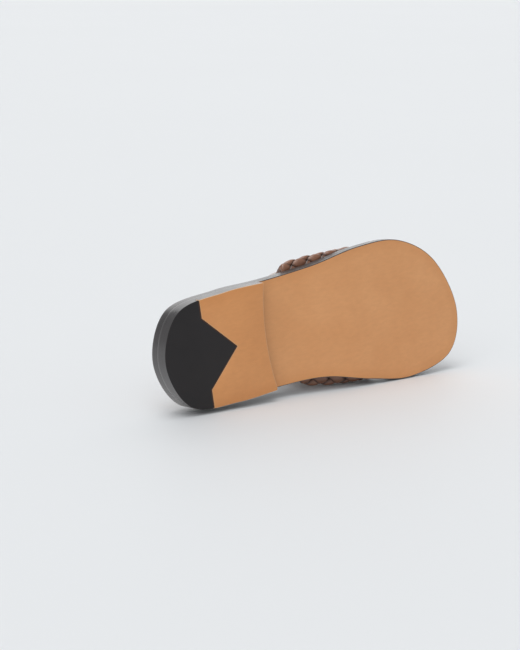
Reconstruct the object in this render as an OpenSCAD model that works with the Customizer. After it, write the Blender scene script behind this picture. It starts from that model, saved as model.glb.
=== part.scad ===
// A right-foot slide sandal: a leather sole with a low stacked heel, a padded footbed,
// and one wide padded strap with a woven leather face. X points to the toe, Y to the big
// toe side, Z up. The heel and the ball of the sole stand on z = 0.

/* [Sole] */
// Thickness of the tan outsole
outsole_t = 4; // [3:0.5:5]
// Height of the heel block under the outsole
heel_h = 7.5; // [6:0.5:9]
// Thickness of the top piece that touches the ground
top_piece_t = 4.5; // [3:0.5:5]
// Height of the sole's rim above the ground at the heel
rim_heel_z = 19; // [17:0.5:22]
// Height of the sole's rim above the ground under the ball of the foot
rim_ball_z = 8; // [7:0.5:10]
// How far the toe curves up
toe_spring = 2; // [0:0.5:5]
// How far the ends of the heel's front line reach ahead of its middle
breast_bow = 6.5; // [0:0.5:9]

/* [Heel tip] */
// Length of the black rubber tip from its side corners to its point
tip_point = 27.5; // [15:0.5:35]
// Half of the width between the rubber tip's two inner corners
tip_half_w = 27; // [15:0.5:30]
// Diameter of the heel nails
nail_d = 2; // [1.5:0.1:3]
// Length of the heel nails
nail_len = 16; // [14:0.5:16]

/* [Footbed] */
// Width of the bare ledge between the footbed and the sole's edge, at the heel
ledge_heel = 3.3; // [2.5:0.1:3.6]
// Width of the same ledge at the ball and the toe
ledge_ball = 5; // [4.6:0.1:6]
// Thickness of the leather that covers the footbed
cover_t = 1.1; // [0.8:0.1:1.4]
// Thickness of the foam under that leather
foam_t = 1.8; // [1:0.1:3]
// Thickness of the insole board
board_t = 1.2; // [1:0.1:2]

/* [Strap] */
// Thickness of the padded strap along its middle
strap_t = 5.4; // [4.6:0.1:6]
// Thickness of the padded strap along its front and rear edges
strap_edge_t = 4.2; // [3.4:0.1:4.4]
// Height of the top of the strap at its rear edge
crown_rear_z = 79; // [72:1:86]
// Height of the top of the strap at its front edge
crown_front_z = 62; // [56:1:66]
// Thickness of the strap's skived ends, which lie under the footbed
tab_t = 1.6; // [1.4:0.1:1.8]
// Length of those ends under the footbed
tab_len = 15; // [10:1:18]

/* [Hidden] */

// Points that the edge of the sole passes through, from the back of the heel round the
// big toe side, the toe and the little toe side.
edge_points = [
    [-140, -5.5], [-123, 30.5], [-81, 36.5], [-38.5, 36], [2.5, 38], [43.5, 49],
    [84, 56.5], [127.5, 46.5], [140, 12], [121.5, -31], [86.5, -54], [44.5, -56.5],
    [2.5, -50.5], [-39, -47.5], [-80.5, -47.5], [-123.5, -41]];
edge_steps = 6;
heel_axis_y = -5.5;

// Larger than the whole shoe, for the shapes that cut its layers.
wide = 160;
tall = 60;

// The middle of the heel's front line, and the half-width over which that line bows.
breast_x = -50;
breast_half = 50;

// Where the sole's bottom and its rim leave the heel and reach the ball.
arch_x = -45;
ball_x = 42;
rim_start_x = -50;
rim_ball_x = 55;
spring_x = 75;
toe_x = 140;
profile_x = concat([-wide, rim_start_x], [for (x = [arch_x : 6 : toe_x + 2]) x], [wide]);
leather_tan = "#C28F62";
edge_black = "#2B2728";

function ramp(t) = let (c = max(0, min(1, t))) c * c * (3 - 2 * c);
function blend(a, b, t) = a + (b - a) * t;
function spring(x) = x > spring_x ? toe_spring * pow((x - spring_x) / (toe_x - spring_x), 2) : 0;
function bottom_z(x) = heel_h * (1 - ramp((x - arch_x) / (ball_x - arch_x))) + spring(x);
function rim_z(x) = spring(x)
    + blend(rim_heel_z, rim_ball_z, ramp((x - rim_start_x) / (rim_ball_x - rim_start_x)));
function ledge(x) = blend(ledge_heel, ledge_ball, ramp((x + 60) / 60));

// A smooth closed curve through the edge points.
function through(a, b, c, d, t) = 0.5 * (2 * b + (c - a) * t
    + (2 * a - 5 * b + 4 * c - d) * t * t + (3 * b - a - 3 * c + d) * t * t * t);
edge = let (p = edge_points, n = len(p)) [for (i = [0 : n - 1]) for (k = [0 : edge_steps - 1])
    through(p[(i + n - 1) % n], p[i], p[(i + 1) % n], p[(i + 2) % n], k / edge_steps)];

// The same curve moved inwards by the ledge and a further distance.
function inward(i) = let (n = len(edge), d = edge[(i + 1) % n] - edge[(i + n - 1) % n])
    [d[1], -d[0]] / norm(d);
function inset_edge(extra) = [for (i = [0 : len(edge) - 1])
    edge[i] + inward(i) * (ledge(edge[i][0]) + extra)];

// Half-outline tables, to find the edge's y at any x on either side.
big_toe_side = [for (p = edge) if (p[1] > heel_axis_y) p];
little_toe_side = [for (p = edge) if (p[1] < heel_axis_y) p];
function edge_y(x, side) = lookup(x, side > 0 ? big_toe_side : little_toe_side);

// Levels of the layers above the rim.
gap = 0.05;
board_z = tab_t + gap;
foam_z = board_z + board_t;
skin_z = foam_z + foam_t;
footbed_h = skin_z + cover_t;

// A slab that follows the rim between two levels above it.
module along_rim(low, high) {
    upper = [for (x = profile_x) [x, rim_z(x) + high]];
    lower = [for (i = [len(profile_x) - 1 : -1 : 0]) [profile_x[i], rim_z(profile_x[i]) + low]];
    rotate([90, 0, 0]) linear_extrude(height = wide, center = true) polygon(concat(upper, lower));
}

// A slab that follows the bottom of the outsole between two levels above it.
module along_bottom(low, high) {
    upper = [for (x = profile_x) [x, bottom_z(x) + high]];
    lower = [for (i = [len(profile_x) - 1 : -1 : 0]) [profile_x[i], bottom_z(profile_x[i]) + low]];
    rotate([90, 0, 0]) linear_extrude(height = wide, center = true) polygon(concat(upper, lower));
}

module sole_shape() {
    translate([0, 0, -1]) linear_extrude(height = tall) polygon(edge);
}

module inset_shape(extra) {
    linear_extrude(height = tall) polygon(inset_edge(extra));
}

// The heel's outline: the sole's edge up to a bowed breast line.
module heel_block(low, high) {
    breast = [for (i = [-8 : 8]) let (t = i / 8)
        [breast_x + breast_bow * t * t, heel_axis_y + breast_half * t]];
    behind = [[-wide, heel_axis_y + breast_half], [-wide, heel_axis_y - breast_half]];
    translate([0, 0, low]) linear_extrude(height = high - low) intersection() {
        polygon(edge);
        polygon(concat(breast, behind));
    }
}

// The rubber tip's area: everything behind two side corners and a point.
tip_x = -105;
module tip_area(grow = 0) {
    translate([0, 0, -1]) linear_extrude(height = tall) polygon([
        [-wide, -wide], [tip_x + grow, -wide], [tip_x + grow, heel_axis_y - tip_half_w],
        [tip_x + tip_point + grow, heel_axis_y],
        [tip_x + grow, heel_axis_y + tip_half_w], [tip_x + grow, wide], [-wide, wide]]);
}

// Five nails that hold the heel, driven down from the midsole.
nail_places = [[-123, heel_axis_y], [-97, heel_axis_y + 24], [-97, heel_axis_y - 24],
    [-63, heel_axis_y + 20], [-63, heel_axis_y - 20]];
module nails() {
    for (p = nail_places)
        translate([p[0], p[1], rim_heel_z - nail_len])
            cylinder(d = nail_d, h = nail_len, $fn = 24);
}

// Strap. v runs from 0 at the rear edge to 1 at the front edge.
strap_rows = [0, 0.05, 0.13, 0.26, 0.42, 0.58, 0.74, 0.87, 0.95, 1];
curl_steps = 3;
arch_steps = 9;
root_rear_x = [-16.5, -13];
root_front_x = [47.5, 55.5];
crown_rear_x = -6.5;
crown_front_x = 46;
curl_h = 3;
// Where the outer face leaves the rim, and how far the inner face stays off the footbed.
curl_start = 0.5;
curl_clear = 0.4;

function side_of(s) = s > 0 ? 1 : 0;
function root_x(s, v) = blend(root_rear_x[side_of(s)], root_front_x[side_of(s)], v);
function strap_thick(v) = blend(strap_edge_t, strap_t, 1 - pow(2 * v - 1, 4));
// Half-width of the strap's outer face, measured from the heel's centre line.
function half_width(s, v) = s > 0 ? blend(38, 57.5, pow(v, 0.55)) : blend(38.5, 50.8, sqrt(v));
// The thick roll that each side forms where it leaves the footbed, on its outer face, and
// how far the inner face keeps clear of the footbed's rolled edge.
roll_reach = 6;
clear_reach = 8;
function roll(s, v) = blend(s > 0 ? 7 : 8.6, 0.2, v);
function clear(v) = 0.8 + 5.2 * pow(1 - v, 3);
function bell(t) = exp(-t * t);
function crown_z(v) = blend(crown_rear_z, crown_front_z, pow(v, 1.8));
function crown_x(v) = blend(crown_rear_x, crown_front_x, v);
function crown_y(v) = blend(-3.5, -0.5, v);
// How much the arch is pinched in from an ellipse, towards the instep.
function pinch(v) = blend(0.1, 0.03, v);
// How far the rear edge's sides reach back beyond a plain curve.
function reach_back(v) = 8 * pow(1 - v, 1.5);

// Depth is 0 on the outer face and 1 on the inner face.
function tab_point(s, v, k, depth) = let (x = root_x(s, v), y = edge_y(x, s),
        e = -ledge(x) - (k == 0 ? tab_len : 0.2))
    [x, y + s * e, rim_z(x) + blend(gap, tab_t, depth)];
function curl_point(s, v, k, depth) = let (x = root_x(s, v), y = edge_y(x, s), z = rim_z(x),
        a = 90 * k / curl_steps,
        out_y = arch_point(s, v, 0, 0)[1], in_y = arch_point(s, v, 0, 1)[1],
        from_out = y - s * curl_start, from_in = y - s * (ledge(x) - curl_clear),
        rise_out = 2 * gap, rise_in = tab_t + curl_clear / 2,
        outer = [x, blend(from_out, out_y, sin(a)), z + blend(rise_out, curl_h, 1 - cos(a))],
        inner = [x, blend(from_in, in_y, 1 - cos(a)), z + blend(rise_in, curl_h, sin(a))])
    blend(outer, inner, depth);
function arch_point(s, v, k, depth) = let (a = 90 * k / arch_steps,
        out = cos(a) * (1 - pinch(v) * sin(a) * sin(a)),
        t = strap_thick(v) * depth, x0 = root_x(s, v), z0 = rim_z(x0) + curl_h,
        y0 = s * (half_width(s, v) - t) + heel_axis_y,
        rise = (crown_z(v) - t - z0) * sin(a),
        swell_out = roll(s, v) * bell(rise / roll_reach),
        swell_in = clear(v) * bell(rise / clear_reach),
        back = crown_x(v) - x0 + reach_back(v))
    [crown_x(v) - back * pow(out, 1.9) + reach_back(v) * pow(out, 6),
     crown_y(v) + (y0 - crown_y(v)) * out + s * blend(swell_out, swell_in, depth),
     z0 + rise];
function half_section(s, v, depth) = concat(
    [for (k = [0 : 1]) tab_point(s, v, k, depth)],
    [for (k = [0 : curl_steps]) curl_point(s, v, k, depth)],
    [for (k = [1 : arch_steps - 1]) arch_point(s, v, k, depth)]);
function section(v, depth) = let (a = half_section(-1, v, depth), b = half_section(1, v, depth))
    concat(a, [arch_point(1, v, arch_steps, depth)], [for (i = [len(b) - 1 : -1 : 0]) b[i]]);

// One layer of the strap, between two depths and two of its rows.
module strap_layer(depth_out, depth_in, first, last) {
    cols = 2 * (2 + curl_steps + arch_steps) + 1;
    rows = last - first + 1;
    outer = [for (r = [first : last]) each section(strap_rows[r], depth_out)];
    inner = [for (r = [first : last]) each section(strap_rows[r], depth_in)];
    m = rows * cols;
    skin = [for (r = [0 : rows - 2]) for (c = [0 : cols - 2]) let (i = r * cols + c)
        each [[i, i + cols, i + cols + 1], [i, i + cols + 1, i + 1]]];
    back = [for (t = skin) [t[0] + m, t[2] + m, t[1] + m]];
    rear = [for (c = [0 : cols - 2]) each [[c, c + 1, c + 1 + m], [c, c + 1 + m, c + m]]];
    front = [for (c = [0 : cols - 2]) let (i = (rows - 1) * cols + c)
        each [[i, i + 1 + m, i + 1], [i, i + m, i + 1 + m]]];
    ends = [for (r = [0 : rows - 2]) let (i = r * cols, j = i + cols - 1)
        each [[i, i + m, i + cols + m], [i, i + cols + m, i + cols],
              [j, j + cols + m, j + m], [j, j + cols, j + cols + m]]];
    faces = concat(skin, back, rear, front, ends);
    polyhedron(points = concat(outer, inner), faces = faces, convexity = 6);
}

weave_share = 0.5;
lining_share = 0.8;

// The opening in the footbed's side through which the strap's ends pass.
slot_rear_x = -20;
slot_front_x = 59;
module strap_slots() {
    intersection() {
        translate([slot_rear_x, -wide / 2, 0]) cube([slot_front_x - slot_rear_x, wide, tall]);
        along_rim(-1, board_z);
    }
}

// Steel shank in the waist of the sole.
shank_rear_x = -85;
shank_front_x = 13;
shank_w = 14;
shank_t = 1.2;
rivet_d = 3;
rivet_clear = 0.3;
rivet_places = [-73, 1];
module shank_shape() {
    r = shank_w / 2;
    intersection() {
        linear_extrude(height = tall) polygon(concat(
            [for (a = [90 : 15 : 270]) [shank_rear_x + r, heel_axis_y] + r * [cos(a), sin(a)]],
            [for (a = [-90 : 15 : 90]) [shank_front_x - r, heel_axis_y] + r * [cos(a), sin(a)]]));
        along_rim(gap, shank_t + gap);
    }
}
module rivets(extra) {
    for (x = rivet_places)
        translate([x, heel_axis_y, rim_z(x) + rivet_clear - extra])
            cylinder(d = rivet_d, h = foam_z - 2 * rivet_clear + 2 * extra, $fn = 24);
}

module heel_tip() {
    color(edge_black) difference() {
        intersection() {
            heel_block(0, top_piece_t);
            tip_area();
        }
        nails();
    }
}

module heel_top_piece() {
    color(leather_tan) difference() {
        heel_block(0, top_piece_t);
        tip_area(0.15);
        nails();
    }
}

module heel_lift() {
    color(edge_black) difference() {
        heel_block(top_piece_t, heel_h);
        nails();
    }
}

module heel_nails() {
    color("#9A9A9C") nails();
}

module outsole() {
    color(leather_tan) difference() {
        intersection() {
            sole_shape();
            along_bottom(0, outsole_t);
        }
        nails();
    }
}

module midsole() {
    color(edge_black) difference() {
        intersection() {
            sole_shape();
            along_rim(-tall, 0);
        }
        along_bottom(-tall, outsole_t);
        nails();
    }
}

module shank() {
    color("#A8AAAD") difference() {
        shank_shape();
        rivets(1);
    }
}

module shank_rivets() {
    color("#C8B27A") rivets(0);
}

module bottom_filler() {
    color("#B48A5A") difference() {
        intersection() {
            inset_shape(cover_t + gap);
            along_rim(0, tab_t);
        }
        difference() {
            strap_slots();
            inset_shape(tab_len + 1);
        }
        shank_pocket();
    }
}

module shank_pocket() {
    translate([shank_rear_x - 1, heel_axis_y - shank_w / 2 - 1, 0])
        cube([shank_front_x - shank_rear_x + 2, shank_w + 2, tall]);
}

module insole_board() {
    color("#8C6A4A") difference() {
        intersection() {
            inset_shape(cover_t + gap);
            along_rim(board_z, foam_z);
        }
        rivets(1);
    }
}

module footbed_padding() {
    color("#D9CDB8") intersection() {
        inset_shape(cover_t + gap);
        along_rim(foam_z, skin_z);
    }
}

module footbed_cover() {
    color("#9A6B48") difference() {
        intersection() {
            inset_shape(0);
            along_rim(0, footbed_h);
        }
        intersection() {
            inset_shape(cover_t);
            along_rim(-1, skin_z);
        }
        strap_slots();
    }
}

module strap_weave() {
    color("#6E4530") strap_layer(0, weave_share, 0, len(strap_rows) - 1);
}

module strap_padding() {
    color("#D9CDB8") strap_layer(weave_share, lining_share, 2, len(strap_rows) - 3);
}

module strap_lining() {
    color("#45241A") strap_layer(lining_share, 1, 1, len(strap_rows) - 2);
}

module rear_edge_stay() {
    color("#2A201C") strap_layer(weave_share, lining_share, 1, 2);
}

module front_edge_stay() {
    color("#2A201C") strap_layer(weave_share, lining_share, len(strap_rows) - 3, len(strap_rows) - 2);
}

heel_tip();
heel_top_piece();
heel_lift();
heel_nails();
outsole();
midsole();
shank();
shank_rivets();
bottom_filler();
insole_board();
footbed_padding();
footbed_cover();
strap_weave();
strap_padding();
strap_lining();
rear_edge_stay();
front_edge_stay();
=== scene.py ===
"""A right-foot slide sandal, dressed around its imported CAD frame.

Meshes are worked out in millimetres, in the CAD frame, and turned into metres when they are made.
X points to the toe, Y to the big toe side, Z up from the ground that the sole stands on.
"""
import math

import bmesh
import bpy
import numpy as np
from mathutils import Matrix, Vector


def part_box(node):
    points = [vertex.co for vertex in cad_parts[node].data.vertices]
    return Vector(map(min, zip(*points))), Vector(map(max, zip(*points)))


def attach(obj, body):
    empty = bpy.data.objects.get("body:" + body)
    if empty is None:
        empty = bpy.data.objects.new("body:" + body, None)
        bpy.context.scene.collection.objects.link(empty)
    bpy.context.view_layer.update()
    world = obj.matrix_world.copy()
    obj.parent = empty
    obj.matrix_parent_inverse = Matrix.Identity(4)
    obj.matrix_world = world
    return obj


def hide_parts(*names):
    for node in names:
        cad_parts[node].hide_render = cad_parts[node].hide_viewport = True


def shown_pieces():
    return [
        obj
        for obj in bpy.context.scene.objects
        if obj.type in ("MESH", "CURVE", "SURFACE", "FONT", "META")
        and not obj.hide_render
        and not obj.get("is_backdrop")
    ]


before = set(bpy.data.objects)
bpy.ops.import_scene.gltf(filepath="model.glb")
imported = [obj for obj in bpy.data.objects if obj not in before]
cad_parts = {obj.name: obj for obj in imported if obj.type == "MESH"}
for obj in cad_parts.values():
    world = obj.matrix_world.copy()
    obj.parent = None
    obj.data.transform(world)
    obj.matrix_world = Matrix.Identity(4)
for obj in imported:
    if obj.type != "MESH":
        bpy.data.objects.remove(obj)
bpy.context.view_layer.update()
MM = 0.001

# ---- the sole's dimensions
# All lengths are in millimetres, and the same as the CAD's where both state them.
EDGE_POINTS = np.array([
    (-140, -5.5), (-123, 30.5), (-81, 36.5), (-38.5, 36), (2.5, 38), (43.5, 49),
    (84, 56.5), (127.5, 46.5), (140, 12), (121.5, -31), (86.5, -54), (44.5, -56.5),
    (2.5, -50.5), (-39, -47.5), (-80.5, -47.5), (-123.5, -41)])
EDGE_STEPS = 40
HEEL_AXIS_Y = -5.5         # the heel's middle line
OUTSOLE_T = 4
TOP_PIECE_T = 4.5
HEEL_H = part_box("heel_lift")[1].z / MM
RIM_HEEL_Z = 19
RIM_BALL_Z = 8
TOE_SPRING = 2
SPRING_X, TOE_X = 75, 140  # where the toe's upward curve starts, and its end
ARCH_X, BALL_X = -45, 42   # where the bottom leaves the heel, and reaches the ground
BREAST_X, BREAST_BOW, BREAST_HALF = -50, 6.5, 50
RIM_START_X, RIM_BALL_X = -50, 55
TIP_X = -105               # the rubber tip's two side corners
TIP_POINT, TIP_HALF_W = 27.5, 27
LEDGE_HEEL, LEDGE_BALL = 3.3, 5
LEDGE_START_X, LEDGE_GROWTH = -60, 60
FOOTBED_H = 5.75
COVER_T = 1.1
FOAM_Z = 2.85
ROOT_REAR_X = {-1: -16.5, 1: -13}      # where the strap's ends meet the rim, on either side
ROOT_FRONT_X = {-1: 47.5, 1: 55.5}
# The middle line that the rings of the sole's pieces close in on, and its number of points.
HEEL_CENTRE = np.array([-95.0, HEEL_AXIS_Y])
TOE_CENTRE = np.array([82.0, 0.0])
MIDDLE_STATIONS, CAP_STATIONS = 75, 61


def ramp(t):
    """A smooth step from 0 to 1."""
    c = np.clip(t, 0, 1)
    return c * c * (3 - 2 * c)


def blend(a, b, t):
    return a + (b - a) * t


def spring(x):
    return np.where(x > SPRING_X, TOE_SPRING * ((x - SPRING_X) / (TOE_X - SPRING_X)) ** 2, 0)


def bottom_z(x):
    return HEEL_H * (1 - ramp((x - ARCH_X) / (BALL_X - ARCH_X))) + spring(x)


def rim_z(x):
    along = ramp((x - RIM_START_X) / (RIM_BALL_X - RIM_START_X))
    return spring(x) + blend(RIM_HEEL_Z, RIM_BALL_Z, along)


def ledge(x):
    return blend(LEDGE_HEEL, LEDGE_BALL, ramp((x - LEDGE_START_X) / LEDGE_GROWTH))


def through(points, steps):
    """A smooth closed curve through the points."""
    t = np.linspace(0, 1, steps, endpoint=False)[:, None]
    out = []
    for i in range(len(points)):
        a, b, c, d = (points[(i + k) % len(points)] for k in (-1, 0, 1, 2))
        out.append(0.5 * (2 * b + (c - a) * t + (2 * a - 5 * b + 4 * c - d) * t ** 2
                          + (3 * b - a - 3 * c + d) * t ** 3))
    return np.vstack(out)


EDGE = through(EDGE_POINTS, EDGE_STEPS)


def edge_y(x, side):
    """The edge's y at x, on the big toe side (1) or the little toe side (-1)."""
    half = EDGE[(EDGE[:, 1] - HEEL_AXIS_Y) * side > 0]
    half = half[np.argsort(half[:, 0])]
    return np.interp(x, half[:, 0], half[:, 1])


def ray_to_edge(centre, angle):
    """Where a ray from centre meets the edge."""
    rel = EDGE - centre
    turn = np.unwrap(np.arctan2(rel[:, 1], rel[:, 0]))
    order = np.argsort(np.mod(turn, 2 * np.pi))
    far = np.interp(np.mod(angle, 2 * np.pi), np.mod(turn, 2 * np.pi)[order],
                    np.linalg.norm(rel, axis=1)[order], period=2 * np.pi)
    return centre + far[:, None] * np.stack([np.cos(angle), np.sin(angle)], 1)


def middle_y(x):
    """The sole's middle line, between the centres of its heel and its toe."""
    return np.interp(x, [HEEL_CENTRE[0], TOE_CENTRE[0]], [HEEL_CENTRE[1], TOE_CENTRE[1]])


def sole_stations():
    """The edge, evenly sampled, with the point of the sole's middle line that each point looks to."""
    x = np.linspace(HEEL_CENTRE[0], TOE_CENTRE[0], MIDDLE_STATIONS)[1:-1]
    middle = np.stack([x, middle_y(x)], 1)
    cap = np.linspace(0, np.pi, CAP_STATIONS)
    round_toe = ray_to_edge(TOE_CENTRE, cap - np.pi / 2)
    round_heel = ray_to_edge(HEEL_CENTRE, cap + np.pi / 2)
    big = np.stack([x, edge_y(x, 1)], 1)[::-1]
    little = np.stack([x, edge_y(x, -1)], 1)
    outline = np.vstack([round_toe, big, round_heel, little])
    centres = np.vstack([np.tile(TOE_CENTRE, (CAP_STATIONS, 1)), middle[::-1],
                         np.tile(HEEL_CENTRE, (CAP_STATIONS, 1)), middle])
    return outline, centres


SOLE, SOLE_MIDDLE = sole_stations()


def inset(outline, distance):
    """The outline moved inwards. distance may differ from point to point."""
    d = np.roll(outline, -1, 0) - np.roll(outline, 1, 0)
    inward = np.stack([-d[:, 1], d[:, 0]], 1) / np.linalg.norm(d, axis=1)[:, None]
    return outline + inward * np.reshape(distance, (-1, 1))


# ---- making meshes
MERGE, NO_LENGTH = 1e-6, 1e-7      # in metres
BLOCK_SHARP = 50                   # degrees
GUARD = 0.15           # a narrow band of wall beside a rounding, which keeps its shading off the rest
ROUNDED_FROM = 35      # the angle from which an edge is rounded, in degrees
BEVEL_SEGMENTS = 3


def finish_piece(name, bm, mesh, sharp):
    """Puts the bmesh into the mesh, smooth up to the sharp angle in degrees, and makes its object."""
    bm.to_mesh(mesh)
    bm.free()
    mesh.shade_smooth()
    mesh.set_sharp_from_angle(angle=math.radians(sharp))
    piece = bpy.data.objects.new(name, mesh)
    bpy.context.scene.collection.objects.link(piece)
    return piece


def make_piece(name, points, faces, materials, face_material=None, attributes=(), sharp=40):
    """A mesh object in metres. face_material gives each face's material number."""
    mesh = bpy.data.meshes.new(name)
    mesh.from_pydata((np.asarray(points, float) * MM).tolist(), [], [list(f) for f in faces])
    for m in materials:
        mesh.materials.append(m)
    if face_material is not None:
        mesh.polygons.foreach_set("material_index", np.asarray(face_material, np.int32))
    for key, values in attributes:
        mesh.attributes.new(key, "FLOAT", "POINT").data.foreach_set(
            "value", np.asarray(values, np.float32))
    bm = bmesh.new()
    bm.from_mesh(mesh)
    bmesh.ops.remove_doubles(bm, verts=bm.verts, dist=MERGE)
    bmesh.ops.dissolve_degenerate(bm, dist=NO_LENGTH, edges=bm.edges)
    bmesh.ops.recalc_face_normals(bm, faces=bm.faces)
    return finish_piece(name, bm, mesh, sharp)


def place(piece, slot, *nodes):
    """The piece rides with the sandal and stands for the CAD nodes."""
    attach(piece, "root")
    if nodes:
        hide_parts(*nodes)
    return piece


def grid_faces(rows, cols, closed_cols=False, start=0):
    """Quads over rows of points, numbered from start."""
    last = cols if closed_cols else cols - 1
    return [(start + r * cols + c, start + r * cols + (c + 1) % cols,
             start + (r + 1) * cols + (c + 1) % cols, start + (r + 1) * cols + c)
            for r in range(rows - 1) for c in range(last)]


def disc_rings(outline, height, count, outwards=True):
    """Rings from the middle line out to the outline, or back in."""
    shares = np.linspace(0, 1, count + 1)[:-1]
    if not outwards:
        shares = shares[::-1]
    rings = []
    for s in shares:
        p = SOLE_MIDDLE + (outline - SOLE_MIDDLE) * s
        rings.append(np.column_stack([p, height(p[:, 0], p[:, 1])]))
    return rings


def ring_solid(name, rings, materials, ring_material=None, attributes=(), sharp=40):
    """A closed solid from rings that start and end on the sole's middle line."""
    n = len(rings[0])
    faces = grid_faces(len(rings), n, closed_cols=True)
    face_material = None
    if ring_material is not None:
        face_material = np.repeat(ring_material[:len(rings) - 1], n)
    spread = [(key, np.concatenate([np.broadcast_to(v, n) for v in values]))
              for key, values in attributes]
    return make_piece(name, np.vstack(rings), faces, materials, face_material, spread, sharp)


def prism(name, outline, low, high, bevel, materials, side_material=0, bevel_material=-1):
    """An upright block with a flat top and rounded edges elsewhere.

    The side walls and the rounding may have their own material.
    """
    bm = bmesh.new()
    levels = [[bm.verts.new((x * MM, y * MM, z * MM)) for x, y in outline]
              for z in (low, low + bevel + GUARD, high)]
    bm.faces.new(levels[0])
    bm.faces.new(levels[-1])
    for under, over in zip(levels, levels[1:]):
        for i in range(len(outline)):
            bm.faces.new((under[i - 1], under[i], over[i], over[i - 1]))
    bmesh.ops.recalc_face_normals(bm, faces=bm.faces)
    for f in bm.faces:
        f.material_index = side_material if abs(f.normal.z) < 0.5 else 0
    rim = [e for e in bm.edges if e.calc_face_angle(0) > math.radians(ROUNDED_FROM)
           and min(v.co.z for v in e.verts) < high * MM - MERGE]
    bmesh.ops.bevel(bm, geom=rim, offset=bevel * MM, segments=BEVEL_SEGMENTS, profile=0.5,
                    affect="EDGES", clamp_overlap=True, material=bevel_material)
    flat = [f for f in bm.faces if len(f.verts) > 4]
    bmesh.ops.triangulate(bm, faces=flat)
    mesh = bpy.data.meshes.new(name)
    for m in materials:
        mesh.materials.append(m)
    return finish_piece(name, bm, mesh, BLOCK_SHARP)


# ---- materials
MIX_INPUTS, MIX_COLOUR_OUT = (0, 6, 7), 2      # the factor and the two colours of a Mix node


class Nodes:
    """A short way to write a material's nodes."""

    def __init__(self, name):
        self.material = bpy.data.materials.new(name)
        self.material.use_nodes = True
        self.tree = self.material.node_tree
        self.shader = self.tree.nodes["Principled BSDF"]
        self.coords = self.add("ShaderNodeTexCoord").outputs["Object"]

    def add(self, kind, **settings):
        """A new node with these settings."""
        node = self.tree.nodes.new(kind)
        for key, value in settings.items():
            setattr(node, key, value)
        return node

    def link(self, out, socket):
        self.tree.links.new(out, socket)

    def fill(self, socket, value):
        """Links a node's output to the socket, or sets it to a colour or a number."""
        if isinstance(value, bpy.types.NodeSocket):
            self.link(value, socket)
        elif isinstance(value, (tuple, list)):
            socket.default_value = (*value, 1)
        else:
            socket.default_value = value

    def stretched(self, scale):
        """The object's own coordinates, scaled differently along X, Y and Z."""
        m = self.add("ShaderNodeMapping")
        self.link(self.coords, m.inputs["Vector"])
        m.inputs["Scale"].default_value = scale
        return m.outputs["Vector"]

    def noise(self, size_mm, detail=3, roughness=0.5, vector=None):
        """Clouds or grain of this size."""
        n = self.add("ShaderNodeTexNoise")
        n.inputs["Scale"].default_value = 1 / (size_mm * MM)
        n.inputs["Roughness"].default_value = roughness
        n.inputs["Detail"].default_value = detail
        self.link(vector or self.coords, n.inputs["Vector"])
        return n.outputs["Fac"]

    def cells(self, size_mm):
        """Rounded grains or pores of this size."""
        n = self.add("ShaderNodeTexVoronoi", feature="SMOOTH_F1")
        n.inputs["Scale"].default_value = 1 / (size_mm * MM)
        self.link(self.coords, n.inputs["Vector"])
        return n.outputs["Distance"]

    def map(self, value, low, high, to_low=0.0, to_high=1.0):
        """The value's range from low to high, stretched to a new range."""
        n = self.add("ShaderNodeMapRange")
        self.link(value, n.inputs["Value"])
        limits = {"From Min": low, "From Max": high, "To Min": to_low, "To Max": to_high}
        for key, number in limits.items():
            n.inputs[key].default_value = number
        return n.outputs["Result"]

    def attribute(self, name):
        return self.add("ShaderNodeAttribute", attribute_name=name).outputs["Fac"]

    def mix(self, fac, a, b, kind="MIX"):
        n = self.add("ShaderNodeMix", data_type="RGBA", blend_type=kind)
        for number, value in zip(MIX_INPUTS, (fac, a, b)):
            self.fill(n.inputs[number], value)
        return n.outputs[MIX_COLOUR_OUT]

    def bump(self, height, distance_mm, strength=1.0, under=None):
        """A surface relief of this depth, on top of the one under it."""
        n = self.add("ShaderNodeBump")
        n.inputs["Strength"].default_value = strength
        n.inputs["Distance"].default_value = distance_mm * MM
        self.link(height, n.inputs["Height"])
        if under is not None:
            self.link(under, n.inputs["Normal"])
        return n.outputs["Normal"]

    def finish(self, colour, roughness, normal=None, **plain):
        """The shader's main inputs, and any others as plain values."""
        self.fill(self.shader.inputs["Base Color"], colour)
        self.fill(self.shader.inputs["Roughness"], roughness)
        if normal is not None:
            self.link(normal, self.shader.inputs["Normal"])
        for key, value in plain.items():
            self.shader.inputs[key.replace("_", " ")].default_value = value
        return self.material


def sole_leather(name, tint=(1, 1, 1)):
    """Tan sole leather: fine fibres, soft clouds, and a slightly burnished band by the edge."""
    n = Nodes(name)
    clouds = n.noise(38, 4, 0.55)
    fibres = n.noise(2.2, 5, 0.65, n.stretched((0.35, 1.0, 1.0)))
    base = n.mix(n.map(clouds, 0.3, 0.7), (0.74, 0.345, 0.140), (0.80, 0.392, 0.170))
    base = n.mix(n.map(fibres, 0.3, 0.75, 0.0, 0.35), base, (0.60, 0.285, 0.115))
    edge = n.map(n.attribute("rim_distance"), 0.0, 9.0, 0.45, 0.0)
    base = n.mix(edge, base, (0.66, 0.285, 0.10))
    base = n.mix(1.0, base, tint, "MULTIPLY")
    normal = n.bump(n.noise(0.7, 2), 0.02, 0.35)
    normal = n.bump(n.noise(7, 4), 0.10, 0.25, normal)
    rough = n.map(clouds, 0.2, 0.8, 0.46, 0.56)
    return n.finish(base, rough, normal, Specular_IOR_Level=0.38)


def cut_edge_and_highlight():
    """The paler cut edge of the tan leather, made paler still as a painted highlight along the rounding.
    """
    n = Nodes("cut_edge_painted_highlight")
    return n.finish(n.mix(n.noise(1.5, 3), (0.70, 0.43, 0.24), (0.80, 0.52, 0.31)), 0.6)


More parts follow.
